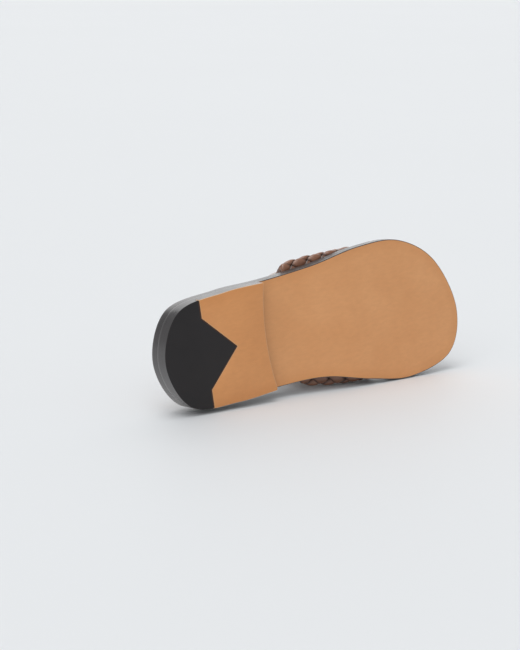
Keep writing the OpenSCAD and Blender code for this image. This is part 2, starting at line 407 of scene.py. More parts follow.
def edge_black():
    """Waxed and burnished black edge, with the leather's layers faintly showing."""
    n = Nodes("waxed_black_edge")
    layers = n.noise(0.9, 3, 0.5, n.stretched((0.03, 0.03, 1.0)))
    cloud = n.noise(14, 3)
    base = n.mix(n.map(cloud, 0.3, 0.7), (0.020, 0.017, 0.018), (0.034, 0.029, 0.030))
    normal = n.bump(layers, 0.04, 0.12)
    normal = n.bump(n.noise(5, 3), 0.05, 0.25, normal)
    rough = n.map(cloud, 0.25, 0.75, 0.26, 0.34)
    return n.finish(base, rough, normal, Specular_IOR_Level=0.6, Coat_Weight=0.35,
                    Coat_Roughness=0.25, Sheen_Weight=0.25, Sheen_Roughness=0.35,
                    Sheen_Tint=(1.0, 0.92, 0.88, 1))


def tip_rubber():
    """Matt black rubber with a fine moulded grain."""
    n = Nodes("black_rubber")
    fine = n.noise(0.35, 2)
    cloud = n.noise(22, 3)
    base = n.mix(n.map(cloud, 0.3, 0.7), (0.0195, 0.0175, 0.0185), (0.0235, 0.021, 0.022))
    normal = n.bump(fine, 0.03, 0.5)
    return n.finish(base, n.map(cloud, 0.2, 0.8, 0.5, 0.6), normal, Specular_IOR_Level=0.3)


def joint_line():
    """The dark line of cement between two pieces of the heel."""
    n = Nodes("glue_line")
    return n.finish(n.mix(n.noise(3, 2), (0.045, 0.016, 0.008), (0.075, 0.028, 0.012)), 0.7)


def footbed_leather():
    """Smooth glossy brown calf, stretched over foam."""
    n = Nodes("brown_footbed_calf")
    clouds = n.noise(30, 4, 0.6)
    base = n.mix(n.map(clouds, 0.3, 0.7), (0.165, 0.066, 0.028), (0.215, 0.090, 0.040))
    normal = n.bump(n.noise(12, 2), 0.12, 0.3)
    rough = n.map(n.noise(4, 3), 0.3, 0.7, 0.26, 0.34)
    return n.finish(base, rough, normal, Specular_IOR_Level=0.5, Coat_Weight=0.35,
                    Coat_Roughness=0.18)


def strip_leather():
    """Soft dark reddish-brown nappa, some strips lighter than others, with painted shade: dark in the
    gaps, on each strip's sides and underside, and where it dives under the other.
    """
    n = Nodes("woven_nappa")
    clouds = n.noise(6, 4, 0.6)
    base = n.mix(n.map(clouds, 0.3, 0.7), (0.200, 0.079, 0.040), (0.290, 0.121, 0.064))
    base = n.mix(n.map(n.attribute("tone"), 0, 1, 0.0, 0.5), base, (0.335, 0.147, 0.076))
    # Painted shade: the colour goes dark where the crown value is low, in the gaps and where a strip
    # dives under.
    painted_gap_shade = n.map(n.attribute("crown"), 0.0, 0.75, 1.0, 0.0)
    base = n.mix(painted_gap_shade, base, (0.030, 0.009, 0.005))
    normal = n.bump(n.noise(0.7, 2), 0.03, 0.4)
    creases = n.noise(2.4, 4, 0.6)
    normal = n.bump(creases, 0.16, 0.5, normal)
    rough = n.map(clouds, 0.25, 0.75, 0.32, 0.42)
    return n.finish(base, rough, normal, Specular_IOR_Level=0.5, Coat_Weight=0.9,
                    Coat_Roughness=0.24, Sheen_Weight=0.2, Sheen_Roughness=0.3)


def lining_leather():
    """Dark reddish-brown lining, duller than the strips."""
    n = Nodes("dark_lining_leather")
    clouds = n.noise(12, 4, 0.6)
    base = n.mix(n.map(clouds, 0.3, 0.7), (0.055, 0.017, 0.010), (0.085, 0.028, 0.016))
    normal = n.bump(n.noise(0.9, 2), 0.03, 0.4)
    normal = n.bump(n.noise(5, 3), 0.15, 0.35, normal)
    return n.finish(base, n.map(clouds, 0.2, 0.8, 0.42, 0.55), normal)


def thread():
    n = Nodes("waxed_thread")
    twist = n.noise(0.5, 2)
    base = n.mix(twist, (0.06, 0.025, 0.014), (0.12, 0.052, 0.03))
    return n.finish(base, 0.5, n.bump(twist, 0.05))


def felt():
    n = Nodes("dark_felt_padding")
    hair = n.noise(0.7, 5, 0.7)
    return n.finish(n.mix(hair, (0.018, 0.008, 0.006), (0.04, 0.018, 0.013)), 0.9, n.bump(hair, 0.2))


def foam():
    n = Nodes("latex_foam")
    pores = n.cells(0.9)
    shade = n.map(pores, 0.0, 0.25)
    base = n.mix(shade, (0.42, 0.35, 0.25), (0.68, 0.6, 0.48))
    return n.finish(base, 0.85, n.bump(pores, 0.4))


TAPE_THREADS = 900     # bands to a metre


def tape():
    n = Nodes("woven_stay_tape")
    wave = n.add("ShaderNodeTexWave", bands_direction="Z")
    wave.inputs["Scale"].default_value = TAPE_THREADS
    n.link(n.coords, wave.inputs["Vector"])
    base = n.mix(wave.outputs["Fac"], (0.02, 0.014, 0.012), (0.04, 0.03, 0.025))
    return n.finish(base, 0.8, n.bump(wave.outputs["Fac"], 0.1))


def metal(name, colour, rough):
    n = Nodes(name)
    lines = n.noise(0.8, 3, 0.5, n.stretched((0.05, 1, 1)))
    base = n.mix(lines, colour, tuple(0.8 * c for c in colour))
    return n.finish(base, n.map(lines, 0, 1, rough, rough + 0.15), n.bump(lines, 0.01), Metallic=1.0)


def cork():
    n = Nodes("pressed_cork")
    grains = n.cells(2.2)
    shade = n.map(grains, 0.0, 0.2)
    return n.finish(n.mix(shade, (0.2, 0.1, 0.04), (0.46, 0.28, 0.13)), 0.85, n.bump(shade, 0.15))


def fibre_board():
    n = Nodes("cellulose_board")
    hair = n.noise(1.2, 5, 0.7, n.stretched((0.2, 1, 1)))
    return n.finish(n.mix(hair, (0.2, 0.11, 0.055), (0.33, 0.2, 0.11)), 0.85, n.bump(hair, 0.05))


TAN = sole_leather("tan_sole_leather")
HEEL_TAN = sole_leather("tan_heel_leather", (0.97, 0.91, 0.82))
BLACK = edge_black()
GLUE = joint_line()


# ---- the sole
OUTSOLE_ROUND, OUTSOLE_SQUARE = 0.55, 0.03     # its lower corner, ahead of the heel and under it
ROUND_FROM_X, ROUND_GROWTH = ARCH_X - 1.5, 6   # where the one turns into the other
OUTSOLE_DISC_RINGS, DISC_RINGS = 12, 6
LIFT_JOIN_X = -95                              # where the lift's back meets its straight sides
BACK_STEPS, BREAST_STEPS, BREAST_STRIDE = 97, 401, 8
MIDSOLE_ROUND = 0.7
HEEL_ROUND = 0.35
FLAT_INSET = 9                                 # how far in the outsole's plain middle begins
SEAM_GAP, SEAM_LAP, SEAM_LEAD = 0.8, 0.5, 0.4  # between the rubber tip and the top piece


def above(surface, extra):
    """A surface extra millimetres above another, for rings and discs alike."""
    return lambda x, y=None: surface(x) + extra


midsole_base = above(bottom_z, OUTSOLE_T)


def flat_rings(insets_and_heights, outline=SOLE):
    """The outline moved in by each inset, at its height."""
    rings = []
    for depth, height in insets_and_heights:
        p = inset(outline, depth)
        rings.append(np.column_stack([p, height(p[:, 0])]))
    return rings


def outsole():
    """Tan bottom with a black edge, rounded ahead of the heel and square where it runs on under it."""
    radius = blend(OUTSOLE_SQUARE, OUTSOLE_ROUND, ramp((SOLE[:, 0] - ROUND_FROM_X) / ROUND_GROWTH))
    underside = [(depth, 0) for depth in (FLAT_INSET, 6, 2.5, 1.3, radius + 0.2)]
    corner = [(radius * (1 - math.sin(t)), radius * (1 - math.cos(t)))
              for t in np.linspace(0, np.pi / 2, 8)]
    wall = [(0, radius + 0.2), (0, 1.8), (0, OUTSOLE_T - 0.12), (0.05, OUTSOLE_T)]
    rings = disc_rings(inset(SOLE, FLAT_INSET), above(bottom_z, 0), OUTSOLE_DISC_RINGS)
    distance = [np.linalg.norm(SOLE - r[:, :2], axis=1) for r in rings]
    for depth, height in underside + corner + wall:
        rings += flat_rings([(depth, above(bottom_z, height))])
        distance.append(depth + np.zeros(len(SOLE)))
    back = disc_rings(inset(SOLE, 1), midsole_base, DISC_RINGS, outwards=False)
    distance += [np.full(len(SOLE), FLAT_INSET)] * len(back)
    material = np.zeros(len(rings) + len(back), int)
    material[OUTSOLE_DISC_RINGS + len(underside):len(rings)] = 1
    piece = ring_solid("outsole_leather", rings + back, [TAN, BLACK], material,
                       [("rim_distance", distance)], sharp=60)
    return place(piece, "sole_leather", "outsole")


def midsole():
    """Black edge up to the rounded rim, and the bare ledge round the footbed."""
    foot = above(midsole_base, 0.12)
    shoulder = above(rim_z, -0.9)
    rings = disc_rings(inset(SOLE, 1), midsole_base, DISC_RINGS)
    rings += flat_rings([(0.05, midsole_base), (0, foot)])
    for share in (0.05, 0.35, 0.65, 1):
        rings += flat_rings([(0, lambda x, s=share: blend(foot(x), shoulder(x), s))])
    for t in np.linspace(0, np.pi / 2, 6)[1:]:
        corner = above(rim_z, -MIDSOLE_ROUND * (1 - math.sin(t)))
        rings += flat_rings([(MIDSOLE_ROUND * (1 - math.cos(t)), corner)])
    rings += flat_rings([(1.2, rim_z), (2.4, above(rim_z, -0.05))])
    rings += disc_rings(inset(SOLE, 3.0), above(rim_z, -0.06), DISC_RINGS, outwards=False)
    piece = ring_solid("midsole_edge", rings, [BLACK], sharp=70)
    return place(piece, "edge_black", "midsole")


def breast_line():
    """The heel's bowed front line, between the two sides of the edge."""
    t = np.linspace(-1, 1, BREAST_STEPS)
    x = BREAST_X + BREAST_BOW * t * t
    y = HEEL_AXIS_Y + BREAST_HALF * t
    inside = (y < edge_y(x, 1)) & (y > edge_y(x, -1))
    return np.stack([x[inside], y[inside]], 1)[::BREAST_STRIDE]


def side_points(x_from, x_to, side, count):
    """Points of the sole's edge on one side."""
    x = np.linspace(x_from, x_to, count)
    return np.stack([x, edge_y(x, side)], 1)


def breast_and_sides(x_from, count):
    """The heel's edge ahead of x_from: the little toe side, the bowed front, and the big toe side."""
    breast = breast_line()
    return np.vstack([side_points(x_from, breast[0][0] - 1, -1, count), breast,
                      side_points(breast[-1][0] - 1, x_from, 1, count)])


def heel_back(x_limit):
    """The edge round the heel's back, from the big toe side to the little toe side, up to x_limit."""
    around = ray_to_edge(HEEL_CENTRE, np.linspace(0, np.pi, BACK_STEPS) + np.pi / 2)
    around = around[around[:, 0] < x_limit - 0.5]
    return np.vstack([[x_limit, edge_y(x_limit, 1)], around, [x_limit, edge_y(x_limit, -1)]])


def heel():
    """The lift, the tan top piece and the pointed rubber tip, with the glue line between the two."""
    lift = np.vstack([heel_back(LIFT_JOIN_X - 1), breast_and_sides(LIFT_JOIN_X + 1, 26)])
    place(prism("heel_lift_leather", lift, TOP_PIECE_T, HEEL_H, 0.05, [BLACK]), "edge_black",
          "heel_lift")

    corners = np.array([(TIP_X, HEEL_AXIS_Y - TIP_HALF_W), (TIP_X + TIP_POINT, HEEL_AXIS_Y),
                        (TIP_X, HEEL_AXIS_Y + TIP_HALF_W)])
    tip = np.vstack([heel_back(TIP_X), corners])
    piece = prism("heel_tip_rubber", tip, 0, TOP_PIECE_T, HEEL_ROUND, [tip_rubber(), BLACK],
                  side_material=1, bevel_material=0)
    place(piece, "rubber_black", "heel_tip")

    top = np.vstack([breast_and_sides(TIP_X + SEAM_GAP, 32), corners[::-1] + (SEAM_GAP, 0)])
    # The top piece's rounding takes the cut edge colour, which also paints a highlight along it.
    piece = prism("heel_top_piece_leather", top, 0.03, TOP_PIECE_T, HEEL_ROUND,
                  [HEEL_TAN, BLACK, cut_edge_and_highlight()], side_material=1, bevel_material=2)
    xy = np.array([v.co[:2] for v in piece.data.vertices]) / MM
    away = [np.linalg.norm(EDGE - p, axis=1).min() for p in xy]
    attribute = piece.data.attributes.new("rim_distance", "FLOAT", "POINT")
    attribute.data.foreach_set("value", np.asarray(away, np.float32))
    place(piece, "sole_leather", "heel_top_piece")

    behind, ahead = TIP_X - SEAM_LAP, TIP_X + SEAM_GAP + SEAM_LEAD
    low_y, high_y = edge_y(TIP_X, -1) + SEAM_LAP, edge_y(TIP_X, 1) - SEAM_LAP
    seam = np.vstack([[behind, low_y], corners + (-SEAM_LAP, 0), [behind, high_y], [ahead, high_y],
                      corners[::-1] + (SEAM_GAP + SEAM_LEAD, 0), [ahead, low_y]])
    place(prism("tip_glue_line", seam, 0.08, TOP_PIECE_T - 0.3, 0.02, [GLUE]), "edge_black")


# ---- the footbed
PASSAGE_H, PASSAGE_FADE = 1.75, 1.5    # the notch in the footbed's edge over the strap's ends
# Under the footbed's edge: how far in, and how far above the underside.
UNDER_CORNER = [(1.1, 0.0), (0.55, 0.12), (0.2, 0.5), (0.03, 1.1), (0, 1.7)]
FOOTBED_ROUND, ROUND_WIDTH = 2.0, 2.5  # height and width of the rolled edge
SETTLED = 0.22                         # how far the footbed's middle lies under its rolled edge
SETTLE_REACH = 2.0
CUP, CUP_START_X, CUP_GROWTH = 0.5, -40, 60    # the shallow hollow under the heel
FOOTBED_HALF_W = 45


def strap_passage(p):
    """1 where the strap's ends pass under the footbed, 0 elsewhere."""
    big_toe = p[:, 1] > HEEL_AXIS_Y
    rear = np.where(big_toe, ROOT_REAR_X[1], ROOT_REAR_X[-1])
    front = np.where(big_toe, ROOT_FRONT_X[1], ROOT_FRONT_X[-1])
    return (ramp((p[:, 0] - rear + PASSAGE_FADE) / (2 * PASSAGE_FADE))
            * ramp((front + PASSAGE_FADE - p[:, 0]) / (2 * PASSAGE_FADE)))


def footbed_underside(p):
    """The height of the underside at points p: on the rim, and above the strap's ends."""
    return rim_z(p[:, 0]) + 0.02 + PASSAGE_H * strap_passage(p)


def footbed_top(x, y):
    """The gently cupped top surface."""
    across = (y - middle_y(x)) / FOOTBED_HALF_W
    cup = CUP * ramp(-(x - CUP_START_X) / CUP_GROWTH) * (1 - np.clip(across * across, 0, 1))
    return rim_z(x) + FOOTBED_H - cup


def footbed():
    """Glossy leather over foam, with a full rolled edge."""
    outline = inset(SOLE, ledge(SOLE[:, 0]))
    rings = disc_rings(inset(outline, 2.2),
                       lambda x, y: footbed_underside(np.column_stack([x, y])), DISC_RINGS)
    for depth, height in UNDER_CORNER:
        p = inset(outline, depth)
        rings.append(np.column_stack([p, footbed_underside(p) + height]))
    for t in np.linspace(0, np.pi / 2, 9):
        p = inset(outline, ROUND_WIDTH * (1 - math.cos(t)))
        level = rim_z(p[:, 0]) + FOOTBED_H - FOOTBED_ROUND + FOOTBED_ROUND * math.sin(t)
        rings.append(np.column_stack([p, np.maximum(level, footbed_underside(p) + PASSAGE_H)]))
    for depth in (3.2, 4.2, 5.5, 7.5):
        p = inset(outline, depth)
        settled = SETTLED * (1 - math.exp(-(depth - ROUND_WIDTH) / SETTLE_REACH))
        rings.append(np.column_stack([p, footbed_top(p[:, 0], p[:, 1]) - settled]))
    rings += disc_rings(inset(outline, 9), lambda x, y: footbed_top(x, y) - SETTLED, 14,
                        outwards=False)
    piece = ring_solid("footbed_leather_cover", rings, [footbed_leather()], sharp=80)
    place(piece, "footbed_leather", "footbed_cover")


def footbed_foam():
    """The foam sheet inside the footbed's cover."""
    outline = inset(SOLE, ledge(SOLE[:, 0]) + COVER_T + 1.2)
    low = above(rim_z, FOAM_Z + 0.05)
    rings = disc_rings(inset(outline, 1), low, 8)
    rings += flat_rings([(0.15, low), (0, above(low, 0.2)), (0, above(low, 0.8))], outline)

    def top(x, y):
        return footbed_top(x, y) - COVER_T - 0.25

    p = inset(outline, 0.3)
    rings.append(np.column_stack([p, top(p[:, 0], p[:, 1]) - 0.1]))
    rings += disc_rings(inset(outline, 1), top, 8, outwards=False)
    piece = ring_solid("footbed_foam_sheet", rings, [foam()], sharp=60)
    place(piece, "foam", "footbed_padding")


# ---- the strap's surfaces
# v runs from 0 at the rear edge to 1 at the front edge; side is 1 for the big toe side.
STRAP_T, STRAP_EDGE_T = 5.4, 4.2
CROWN_REAR, CROWN_FRONT = (-6.5, 79), (46, 62)     # (x, z) of the highest point of either edge
CROWN_Y = (-3.5, -0.5)
CROWN_FALL_POWER = 1.8
HALF_W_REAR = {-1: 38.5, 1: 38}
HALF_W_FRONT = {-1: 50.8, 1: 57.5}
HALF_W_POWER = {-1: 0.5, 1: 0.55}
PINCH_REAR, PINCH_FRONT = 0.1, 0.03    # how much flatter than an ellipse the arch's sides are
ROLL_REAR = {-1: 8.6, 1: 7}            # how far the outer face swells out just over the rim
ROLL_FRONT = 0.2
CLEAR_REAR, CLEAR_FRONT = 6.0, 0.8     # how far the inner face swells out there
ROLL_REACH, CLEAR_REACH = 6, 8
REACH_BACK, REACH_POWER = 8, 1.5       # the scoop of the rear edge
LEAN_POWER, LEAN_RETURN_POWER = 1.9, 6 # how the sides lean forwards from the rim to the crown
CURL_H = 3                             # the curl's height above the rim
CURL_START, CURL_CLEAR = 0.5, 0.4      # its gaps to the sole's edge and to the footbed
TAB_T, TAB_GAP = 1.6, 0.05
ARCH_STEPS, CURL_STEPS = 90, 14
TAB_REACH = np.linspace(0.4, 6.0, 8)
ROWS, HALF_COLS = 61, 180
SMOOTHING_PASSES = 6


def bell(t):
    return np.exp(-t * t)


def root_x(side, v):
    """Where the strap meets the rim."""
    return blend(ROOT_REAR_X[side], ROOT_FRONT_X[side], v)


def strap_thickness(v):
    """Even over the middle, and thinner by both edges."""
    return blend(STRAP_EDGE_T, STRAP_T, 1 - (2 * v - 1) ** 4)


def half_width(side, v):
    """How far the strap's outer face stands from the heel's middle line, just over the rim."""
    return blend(HALF_W_REAR[side], HALF_W_FRONT[side], v ** HALF_W_POWER[side])


def arch(side, v, turn, depth):
    """A point between rim (turn 0) and crown (a quarter turn). depth 0 is outside, 1 inside."""
    sin, cos = np.sin(turn), np.maximum(np.cos(turn), 0)
    out = cos * (1 - blend(PINCH_REAR, PINCH_FRONT, v) * sin * sin)
    thick = strap_thickness(v) * depth
    x0 = root_x(side, v)
    z0 = rim_z(x0) + CURL_H
    y0 = side * (half_width(side, v) - thick) + HEEL_AXIS_Y
    crown_x = blend(CROWN_REAR[0], CROWN_FRONT[0], v)
    crown_z = blend(CROWN_REAR[1], CROWN_FRONT[1], v ** CROWN_FALL_POWER)
    crown_y = blend(CROWN_Y[0], CROWN_Y[1], v)
    rise = (crown_z - thick - z0) * sin
    roll = blend(ROLL_REAR[side], ROLL_FRONT, v)
    clear = CLEAR_FRONT + (CLEAR_REAR - CLEAR_FRONT) * (1 - v) ** 3
    swell = blend(roll * bell(rise / ROLL_REACH), clear * bell(rise / CLEAR_REACH), depth)
    reach = REACH_BACK * (1 - v) ** REACH_POWER
    back = crown_x - x0 + reach
    return np.stack([crown_x - back * out ** LEAN_POWER + reach * out ** LEAN_RETURN_POWER,
                     crown_y + (y0 - crown_y) * out + side * swell, z0 + rise], -1)


def curl(side, v, turn, depth):
    """A point where the strap curls in over the sole's rim: turn runs from 0 at the rim to a quarter."""
    x = root_x(side, v)
    y, z = edge_y(x, side), rim_z(x)
    out_y = arch(side, v, 0 * turn, 0)[..., 1]
    in_y = arch(side, v, 0 * turn, 1)[..., 1]
    outer = [blend(y - side * CURL_START, out_y, np.sin(turn)),
             z + blend(0.1, CURL_H, 1 - np.cos(turn))]
    inner = [blend(y - side * (ledge(x) - CURL_CLEAR), in_y, 1 - np.cos(turn)),
             z + blend(TAB_T + CURL_CLEAR / 2, CURL_H, np.sin(turn))]
    return np.stack([x + 0 * turn, blend(outer[0], inner[0], depth),
                     blend(outer[1], inner[1], depth)], -1)


def tab(side, v, reach, depth):
    """A point of the flat end that lies under the footbed, reach millimetres in from its edge."""
    x = root_x(side, v)
    y = edge_y(x, side) - side * (ledge(x) + reach)
    z = rim_z(x) + blend(TAB_GAP, TAB_T, depth)
    return np.stack([x + 0 * reach, y + 0 * reach, z + 0 * reach], -1)


def strap_line(side, v, depth):
    """The strap from its crown down to the end under the footbed, at one v and depth."""
    quarter = np.pi / 2
    down = arch(side, v, np.linspace(quarter, 0, ARCH_STEPS), depth)
    turn = np.linspace(quarter, 0, CURL_STEPS)[1:]
    return np.vstack([down, curl(side, v, turn, depth), tab(side, v, TAB_REACH, depth)])


def lengths_along(line):
    """How far along the line each of its points lies."""
    return np.concatenate([[0], np.cumsum(np.linalg.norm(np.diff(line, axis=0), axis=1))])


def resample(line):
    """HALF_COLS points spread evenly along a line."""
    along = lengths_along(line)
    even = np.linspace(0, along[-1], HALF_COLS)
    return np.stack([np.interp(even, along, line[:, k]) for k in range(3)], 1)


def strap_grid(depth):
    """One strap surface: rows from rear to front edge, columns from little toe side to big."""
    rows = []
    for v in np.linspace(0, 1, ROWS):
        left, right = (resample(strap_line(side, v, depth)) for side in (-1, 1))
        rows.append(np.vstack([left[::-1], right[1:]]))
    grid = np.array(rows)
    for _ in range(SMOOTHING_PASSES):
        grid[:, 1:-1] = 0.25 * grid[:, :-2] + 0.5 * grid[:, 1:-1] + 0.25 * grid[:, 2:]
    return grid


def unit(vectors):
    """The vectors, made one long."""
    return vectors / np.linalg.norm(vectors, axis=-1, keepdims=True)


def look_up(grid, v, u):
    """The grid's value at v from 0 to 1 and u from -1 to 1."""
    r = np.clip(v, 0, 1) * (grid.shape[0] - 1)
    c = (np.clip(u, -1, 1) + 1) / 2 * (grid.shape[1] - 1)
    r0 = np.minimum(r.astype(int), grid.shape[0] - 2)
    c0 = np.minimum(c.astype(int), grid.shape[1] - 2)
    fr, fc = r - r0, c - c0
    if grid.ndim == 3:
        fr, fc = fr[..., None], fc[..., None]
    top = grid[r0, c0] * (1 - fc) + grid[r0, c0 + 1] * fc
    low = grid[r0 + 1, c0] * (1 - fc) + grid[r0 + 1, c0 + 1] * fc
    return top * (1 - fr) + low * fr


OUTER, INNER = strap_grid(0.0), strap_grid(1.0)
OUTER_N = unit(np.cross(np.gradient(OUTER, axis=0), np.gradient(OUTER, axis=1)))
if OUTER_N[ROWS // 2, HALF_COLS][2] < 0:
    OUTER_N = -OUTER_N
ACROSS = np.linalg.norm(np.diff(OUTER, axis=0), axis=2).sum(0)
ACROSS_GRID = np.vstack([ACROSS, ACROSS])
HALF_LENGTH = np.linalg.norm(np.diff(OUTER[ROWS // 2, :HALF_COLS], axis=0), axis=1).sum()

# ---- the weave
# The strips are laid out in lozenges: u_cells along the strap from its crown, v_cells across it.
CELL_MM = 14
CELLS_ACROSS = 4.65
REAR_CELL = 0.8            # where in the row of lozenges the rear edge cuts
CELLS_HALF = HALF_LENGTH / CELL_MM
FOLD = 6.5 / CELL_MM       # how far the strips run on round the strap's edges
WAVE, DOME = 0.9, 1.1      # how far a strip rises and sinks, and how far its face bulges
UNDER, UNDER_EDGE = 0.3, 0.22
WAVE_POWER = 0.75          # under 1 keeps a strip longer at its top and bottom
PLUMP, PLUMPER_ON_TOP = 0.86, 0.14
# The crown value below sets painted shade on a strip where it passes under the other.
SHADED_SUNK_CROWN = 0.45          # the crown value where a strip passes under the other
EDGE_RADIUS = 2.2          # of the fold round the strap's edges
STRIP_FILL = 0.97          # a strip's width, as a share of its lozenge
STRIP_SWAY, SWAY_TURN = 0.02, 1.7
STRIP_RANGE = range(-15, 16)
STEPS_PER_CELL, FEWEST_STEPS = 11, 6
END_MARGIN, SHORTEST_STRIP = 0.04, 0.6     # in lozenges
FADE_IN_MM, EDGE_RELIEF = 9, 0.5           # the relief is flatter by the strap's edges
ROOT_FROM_U, ROOT_FADE, ROOT_FLATTENING = 0.915, 0.05, 0.72
BEND_SHARE = 0.92          # how much tighter than that radius the strips turn
ROOT_RADIUS_SHARE = 0.6
SLOPE_STEP = 0.02          # in v, to measure the direction across the strap


def weave_frame(u_cells, v_cells):
    """Base point, outward direction and strength of the relief, at a place counted in lozenges."""
    u = u_cells / CELLS_HALF
    v = (v_cells - REAR_CELL) / CELLS_ACROSS
    wide = look_up(ACROSS_GRID, 0 * u, u)
    start = EDGE_RADIUS / wide
    on_face = np.clip(v, start, 1 - start)
    face = look_up(OUTER, on_face, u)
    normal = unit(look_up(OUTER_N, on_face, u))
    ahead = unit(look_up(OUTER, np.minimum(on_face + SLOPE_STEP, 1), u)
                 - look_up(OUTER, np.maximum(on_face - SLOPE_STEP, 0), u))
    ahead = unit(ahead - normal * (ahead * normal).sum(-1, keepdims=True))
    edge_mm = np.minimum(v, 1 - v) * wide - EDGE_RADIUS
    fade = blend(EDGE_RELIEF, 1.0, ramp((edge_mm + 1) / FADE_IN_MM))
    root = 1 - ROOT_FLATTENING * ramp((np.abs(u) - ROOT_FROM_U) / ROOT_FADE)
    relief = fade * root
    depth = (WAVE + DOME) * relief
    over = np.maximum(np.maximum(on_face - v, v - (1 - start)) * wide, 0)
    side = np.where(v < 0.5, -1.0, 1.0)[..., None]
    bend = np.clip(over / EDGE_RADIUS / BEND_SHARE, 0, np.pi)[..., None]
    past = np.maximum(over - EDGE_RADIUS * BEND_SHARE * np.pi, 0)[..., None]
    radius = (EDGE_RADIUS * blend(ROOT_RADIUS_SHARE, 1.0, root) - depth)[..., None]
    centre = face - normal * (radius + depth[..., None])
    out = normal * np.cos(bend) + side * ahead * np.sin(bend)
    base = centre + out * radius
    base = np.where(over[..., None] > 0, base - side * ahead * past, base)
    return base, out, relief


def profile_loop():
    """A strip's cross-section round a closed loop: share of its half width, height, and topness, which
    sets the painted shade.
    """
    top_c = np.array([-1, -0.93, -0.78, -0.55, -0.28, 0, 0.28, 0.55, 0.78, 0.93, 1])
    under_c = np.array([0.96, 0.6, 0, -0.6, -0.96])
    top = DOME * (1 - np.abs(top_c) ** 2.6) ** 0.75
    under = [-UNDER_EDGE, -UNDER, -UNDER, -UNDER, -UNDER_EDGE]
    topness = np.concatenate([1 - np.abs(top_c) ** 3, np.zeros(len(under_c))])
    return np.concatenate([top_c, under_c]), np.concatenate([top, under]), topness


def closed_ends(start, count, ring):
    """The two end faces of a tube of count rings."""
    return [tuple(range(start, start + ring)),
            tuple(reversed(range(start + (count - 1) * ring, start + count * ring)))]


def weave():
    """Two families of padded strips, each over one and under the next, folded round the edges.

    Along a strip of the first family u + v stays the same, and along one of the second u - v.
    """
    loop_c, loop_h, topness = profile_loop()
    n = len(loop_c)
    v_low, v_high = REAR_CELL - FOLD, REAR_CELL + CELLS_ACROSS + FOLD
    u_end = CELLS_HALF - END_MARGIN
    rng = np.random.default_rng(7)
    points, faces, painted_shade_crowns, tones = [], [], [], []
    start = 0
    for family in (-1, 1):
        for strip in STRIP_RANGE:
            middle = strip + 0.5
            v_ends = sorted((2 * family * v_low, 2 * family * v_high))
            low = max(middle + v_ends[0], -2 * u_end - middle)
            high = min(middle + v_ends[1], 2 * u_end - middle)
            tone = rng.random()
            sway = rng.uniform(-STRIP_SWAY, STRIP_SWAY)
            if high - low < SHORTEST_STRIP:
                continue
            count = max(int((high - low) * STEPS_PER_CELL), FEWEST_STEPS)
            t = np.linspace(low, high, count)[:, None]
            across = middle + 0.5 * STRIP_FILL * loop_c[None, :] + sway * np.sin(t * SWAY_TURN)
            u, v = (across + t) / 2, family * (t - across) / 2
            wave = -family * np.cos(np.pi * (t - middle))
            wave = np.sign(wave) * np.abs(wave) ** WAVE_POWER
            base, out, relief = weave_frame(np.clip(u, -u_end, u_end), v)
            plump = PLUMP + PLUMPER_ON_TOP * wave
            height = (WAVE * wave + loop_h[None, :] * plump) * relief
            points.append((base + out * height[..., None]).reshape(-1, 3))
            # The crown value is kept as an attribute; the material paints shade where it is low.
            crown = topness[None, :] * blend(SHADED_SUNK_CROWN, 1, (wave + 1) / 2)
            painted_shade_crowns.append(np.clip(crown, 0, 1).reshape(-1))
            tones.append(np.full(count * n, tone))
            faces += grid_faces(count, n, closed_cols=True, start=start)
            faces += closed_ends(start, count, n)
            start += count * n
    piece = make_piece("woven_leather_strips", np.vstack(points), faces, [strip_leather()],
                       attributes=[("crown", np.concatenate(painted_shade_crowns)), ("tone", np.concatenate(tones))],
                       sharp=75)
    place(piece, "woven_leather", "strap_weave")


# ---- inside the strap
LAYER_END_U = 0.985
PAD_SINK = 2.55                    # the padding starts under the strips
PAD_SHARE, TAPE_SHARE, LINING_SHARE, LINING_FACE = 0.84, 0.86, 0.9, 1.06
PAD_V, REAR_TAPE_V, FRONT_TAPE_V, LINING_V = (0.05, 0.95), (0.055, 0.12), (0.88, 0.945), (0.045, 0.955)
PAD_ROWS, TAPE_ROWS = 25, 7
EDGE_POWER, EDGE_LEFT = 0.35, 0.02 # how bluntly a layer ends, and how thin


def between(share, sink=0.0):
    """A surface part of the way from the strap's outer to its inner face, sunk in by some millimetres."""
    def surface(v, u):
        outer, inner = look_up(OUTER, v, u), look_up(INNER, v, u)
        return blend(outer, inner, share) - look_up(OUTER_N, v, u) * sink
    return surface


def layer(name, material, v_ends, outer_face, inner_face, rows=PAD_ROWS):
    """A closed layer of the strap between two faces, thinned to nothing at its front and rear edge."""
    cols = 2 * HALF_COLS - 1
    u = np.linspace(-LAYER_END_U, LAYER_END_U, cols)[None, :] + np.zeros((rows, 1))
    turn = np.linspace(0, np.pi, rows)
    v = blend(*v_ends, (1 - np.cos(turn)) / 2)[:, None] + np.zeros((1, cols))
    outer, inner = outer_face(v, u), inner_face(v, u)
    middle = (outer + inner) / 2
    pinch = np.maximum(np.sin(turn) ** EDGE_POWER, EDGE_LEFT)[:, None, None]
    outer, inner = middle + (outer - middle) * pinch, middle + (inner - middle) * pinch
    points = np.vstack([outer.reshape(-1, 3), inner.reshape(-1, 3)])
    m = rows * cols
    faces = grid_faces(rows, cols)
    faces += [tuple(reversed(f)) for f in grid_faces(rows, cols, start=m)]
    for c in range(cols - 1):
        last = (rows - 1) * cols + c
        faces.append((c + 1, c, c + m, c + 1 + m))
        faces.append((last, last + 1, last + 1 + m, last + m))
    for r in range(rows - 1):
        a, b = r * cols, r * cols + cols - 1
        faces.append((a, a + cols, a + cols + m, a + m))
        faces.append((b + cols, b, b + m, b + cols + m))
    return make_piece(name, points, faces, [material], sharp=60)


